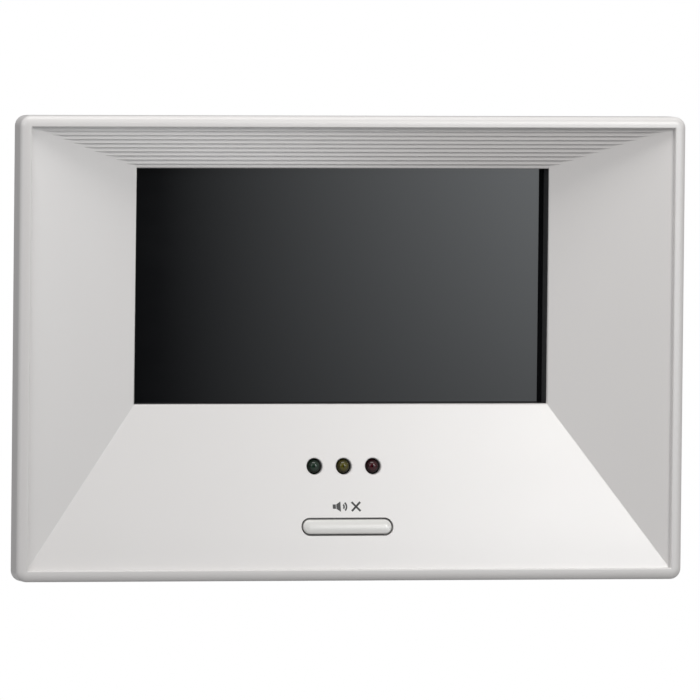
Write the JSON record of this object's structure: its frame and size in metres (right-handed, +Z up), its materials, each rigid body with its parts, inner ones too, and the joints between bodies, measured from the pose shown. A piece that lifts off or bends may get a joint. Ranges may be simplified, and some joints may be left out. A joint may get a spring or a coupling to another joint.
{
  "type": "video intercom monitor",
  "caption": "Wall-mounted hands-free video intercom monitor: framed sloping face with a recessed screen, status lamps and a long mute button.",
  "frame": {"origin": "centre of the wall bracket's back face, on the wall", "axes": "+X to the right and +Z up, seen from the room; +Y into the wall"},
  "size_m": [0.251, 0.043, 0.1694],
  "materials": {
    "bracket_steel": "zinc-plated pressed steel",
    "frame_plastic": "light warm grey ABS, semi-gloss",
    "panel_plastic": "light warm grey ABS, semi-gloss",
    "cover_plastic": "light warm grey ABS, fine spark texture",
    "button_plastic": "light warm grey ABS, glossy",
    "screw_steel": "zinc-plated",
    "tinted_pane": "dark tinted acrylic",
    "foam": "closed-cell foam",
    "sheet_steel": "tin-plated sheet",
    "display_cell": "unlit liquid-crystal cell",
    "light_guide": "milky diffuser",
    "flex_film": "amber polyimide film",
    "circuit_board": "green solder mask",
    "chip_black": "moulded epoxy",
    "capacitor_can": "drawn can",
    "ferrite": "pressed ferrite",
    "heat_sink_aluminium": "extruded",
    "socket_plastic": "natural nylon",
    "ribbon_insulation": "grey vinyl",
    "wire_insulation": "black and red vinyl",
    "terminal_plastic": "green nylon",
    "green_lamp": "diffused dark green epoxy",
    "yellow_lamp": "diffused olive yellow epoxy",
    "red_lamp": "diffused dark red epoxy",
    "tinned_wire": "tinned",
    "switch_plastic": "black nylon",
    "dial_plastic": "dark grey nylon",
    "speaker_paper": "pressed paper",
    "microphone_can": "drawn can",
    "boot_rubber": "moulded"
  },
  "bodies": {
    "bracket": {"wall_bracket": "bracket_steel"},
    "housing": {"front_frame": "frame_plastic", "front_panel": "panel_plastic", "rear_cover": "cover_plastic", "case_screws": "screw_steel", "lcd_screws": "screw_steel", "board_screws": "screw_steel", "button_board_screws": "screw_steel", "dial_board_screws": "screw_steel", "speaker_screws": "screw_steel", "terminal_screws": "screw_steel", "window_lens": "tinted_pane", "lens_gasket": "foam", "speaker_gasket": "foam", "lcd_case": "sheet_steel", "lcd_clips": "sheet_steel", "lcd_glass": "display_cell", "lcd_backlight": "light_guide", "lcd_flex": "flex_film", "main_board": "circuit_board", "button_board": "circuit_board", "dial_board": "circuit_board", "processor_chip": "chip_black", "memory_chips": "chip_black", "regulator": "chip_black", "capacitors": "capacitor_can", "crystal": "capacitor_can", "power_coil": "ferrite", "heat_sink": "heat_sink_aluminium", "display_socket": "socket_plastic", "ribbon_sockets": "socket_plastic", "wire_sockets": "socket_plastic", "ribbon_cable": "ribbon_insulation", "speaker_wires": "wire_insulation", "microphone_wires": "wire_insulation", "terminal_block": "terminal_plastic", "led_green": "green_lamp", "led_yellow": "yellow_lamp", "led_red": "red_lamp", "lamp_leads": "tinned_wire", "mute_switch": "switch_plastic", "dial_pots": "switch_plastic", "speaker_frame": "sheet_steel", "speaker_cone": "speaker_paper", "speaker_magnet": "ferrite", "speaker_clamps": "sheet_steel", "microphone": "microphone_can", "microphone_boot": "boot_rubber"},
    "mute_button": {"mute_button": "button_plastic"},
    "switch_plunger": {"switch_plunger": "switch_plastic"},
    "volume_dial": {"volume_wheel": "dial_plastic"},
    "brightness_dial": {"brightness_wheel": "dial_plastic"}
  },
  "joints": [
    {"name": "housing_lift", "type": "slide", "parent": "bracket", "child": "housing", "axis": [0, 0, 1], "range_m": [0, 0.007]},
    {"name": "mute_press", "type": "slide", "parent": "housing", "child": "mute_button", "axis": [0, 1, 0], "range_m": [0, 0.0005], "stiffness_N_per_m": 1500},
    {"name": "switch_press", "type": "slide", "parent": "housing", "child": "switch_plunger", "axis": [0, 1, 0], "range_m": [0, 0.0005]},
    {"name": "volume_turn", "type": "hinge", "parent": "housing", "child": "volume_dial", "pos_m": [0.1107, -0.016, 0.013], "axis": [0, 1, 0], "range_deg": [-135, 135]},
    {"name": "brightness_turn", "type": "hinge", "parent": "housing", "child": "brightness_dial", "pos_m": [0.1107, -0.016, -0.015], "axis": [0, 1, 0], "range_deg": [-135, 135]}
  ],
  "couplings": [
    {"joint": "switch_press", "follows": "mute_press", "ratio": 1}
  ]
}
